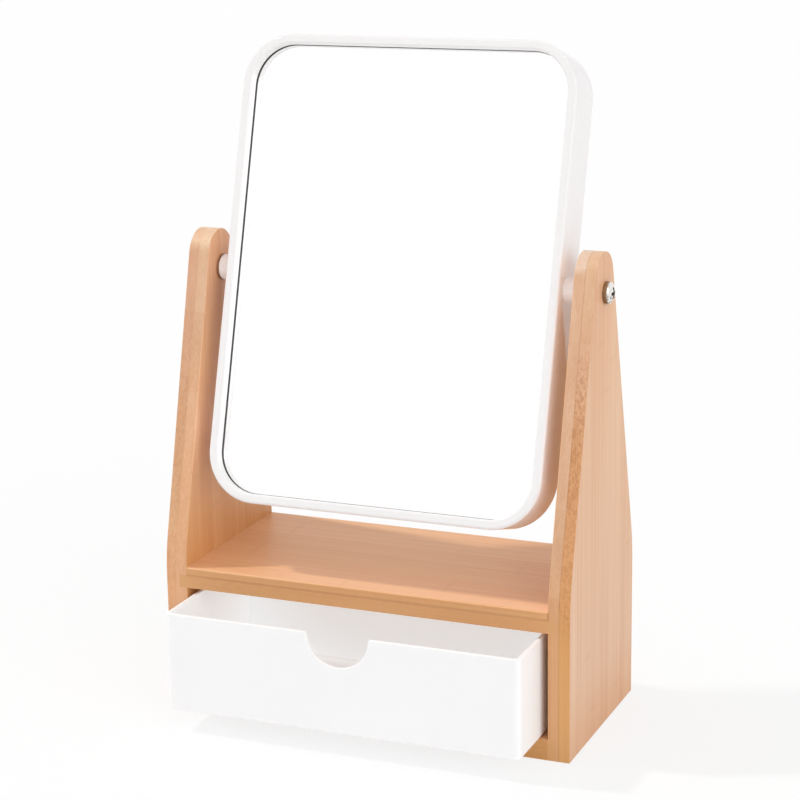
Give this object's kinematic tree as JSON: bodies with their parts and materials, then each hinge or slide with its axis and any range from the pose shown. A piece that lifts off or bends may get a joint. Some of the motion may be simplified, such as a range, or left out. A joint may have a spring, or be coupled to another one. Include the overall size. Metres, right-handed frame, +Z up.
{
  "type": "vanity mirror",
  "caption": "Tabletop vanity mirror: tilting rounded mirror between two bamboo side panels on a low stand with an open shelf and a pull-out drawer.",
  "frame": {"origin": "centre of the stand's underside, at mid depth of the side panels", "axes": "+Z up, +X to the viewer's right across the stand, +Y towards the back; the mirror and the drawer's front face -Y"},
  "size_m": [0.2086, 0.1216, 0.3137],
  "materials": {
    "bamboo_outer_ply": "satin",
    "bamboo_inner_ply": "satin",
    "bamboo_board": "satin",
    "drawer_plastic": "satin",
    "frame_plastic": "gloss",
    "mirror_glass": "polished",
    "foam": "matte",
    "brass": "satin",
    "fibre": "matte",
    "screw_steel": "polished"
  },
  "bodies": {
    "stand": {"side_panel_right_outer": "bamboo_outer_ply", "side_panel_right_inner": "bamboo_inner_ply", "side_panel_left_outer": "bamboo_outer_ply", "side_panel_left_inner": "bamboo_inner_ply", "base_board": "bamboo_board", "shelf_board": "bamboo_board", "back_board": "bamboo_board"},
    "drawer": {"drawer_tray": "drawer_plastic"},
    "mirror": {"mirror_frame": "frame_plastic", "mirror_glass": "mirror_glass", "foam_pad": "foam", "back_cover": "frame_plastic", "threaded_insert_right": "brass", "threaded_insert_left": "brass", "pivot_spacer_right": "frame_plastic", "pivot_spacer_left": "frame_plastic", "friction_washer_right": "fibre", "friction_washer_left": "fibre", "pivot_screw_right": "screw_steel", "pivot_screw_left": "screw_steel"}
  },
  "joints": [
    {"name": "drawer_slide", "type": "slide", "parent": "stand", "child": "drawer", "axis": [0, -1, 0], "range_m": [-0.0282, 0.0418]},
    {"name": "mirror_tilt", "type": "hinge", "parent": "stand", "child": "mirror", "pos_m": [0, 0.0015, 0.2054], "axis": [1, 0, 0], "continuous": true}
  ]
}
